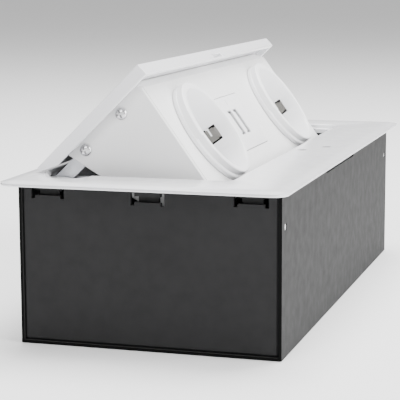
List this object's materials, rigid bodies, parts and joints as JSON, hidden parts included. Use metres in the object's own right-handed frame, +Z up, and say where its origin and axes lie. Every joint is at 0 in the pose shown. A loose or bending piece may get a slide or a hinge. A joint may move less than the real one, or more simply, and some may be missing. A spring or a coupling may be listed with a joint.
{
  "type": "recessed_desk_socket_box",
  "caption": "Recessed desk power box: a dark steel case hangs from a white flange plate, and a sprung white lid unit with earthed sockets and USB ports tilts up out of it",
  "frame": {"origin": "under the middle of the case, on the surface it stands on", "axes": "+X across the case towards the lid's free edge, +Y along the case, +Z up"},
  "size_m": [0.121, 0.266, 0.1161],
  "materials": {
    "case_steel": "matt black powder coat",
    "panel_black": "fine-grained matt",
    "white_enamel": "semi-gloss",
    "block_enamel": "satin",
    "white_plastic": "semi-gloss",
    "zinc_steel": "zinc plated",
    "bright_screw": "bright nickel",
    "nickel": "nickel-plated spring",
    "brass": "bright",
    "rubber": "matt",
    "black_plastic": "matt",
    "cream_plastic": "satin",
    "board": "solder mask"
  },
  "bodies": {
    "base": {"case_trough": "case_steel", "end_panel_near": "panel_black", "end_panel_far": "panel_black", "top_plate": "white_enamel", "side_bracket": "zinc_steel", "hinge_bracket_near": "zinc_steel", "hinge_bracket_far": "zinc_steel", "end_panel_screw_near_left": "bright_screw", "end_panel_screw_near_right": "bright_screw", "end_panel_screw_far_left": "bright_screw", "end_panel_screw_far_right": "bright_screw", "plate_screw_1": "bright_screw", "plate_screw_2": "bright_screw", "hinge_pin_near": "bright_screw", "hinge_pin_far": "bright_screw", "torsion_spring_near": "bright_screw", "torsion_spring_far": "bright_screw", "terminal_screw_1": "brass", "terminal_screw_2": "brass", "terminal_screw_3": "brass", "earth_stud": "brass", "stop_pad_near": "rubber", "stop_pad_far": "rubber", "gland_seal": "rubber", "gland_body": "black_plastic", "gland_nut": "black_plastic", "terminal_block": "cream_plastic"},
    "lid_unit": {"lid_cover": "white_enamel", "face_panel": "block_enamel", "rear_shell": "block_enamel", "cheek_near": "block_enamel", "cheek_far": "block_enamel", "cheek_screw_near_rear": "bright_screw", "cheek_screw_near_front": "bright_screw", "cheek_screw_far_rear": "bright_screw", "cheek_screw_far_front": "bright_screw", "pivot_arm_near": "zinc_steel", "pivot_arm_far": "zinc_steel", "socket_near": "white_plastic", "socket_far": "white_plastic", "earth_strap_near": "nickel", "earth_strap_far": "nickel", "contact_sleeve_near_upper": "brass", "contact_sleeve_near_lower": "brass", "contact_sleeve_far_upper": "brass", "contact_sleeve_far_lower": "brass", "socket_back_near": "black_plastic", "socket_back_far": "black_plastic", "usb_bezel": "white_plastic", "usb_shell_near": "bright_screw", "usb_shell_far": "bright_screw", "usb_tongue_near": "white_plastic", "usb_tongue_far": "white_plastic", "usb_board": "board", "usb_case": "black_plastic"}
  },
  "joints": [
    {"name": "lid_tilt", "type": "hinge", "parent": "base", "child": "lid_unit", "pos_m": [-0.0515, 0, 0.0602], "axis": [0, 1, 0], "range_deg": [0, 44.4], "stiffness_Nm_per_rad": 0.2, "springref_deg": -148.97}
  ]
}
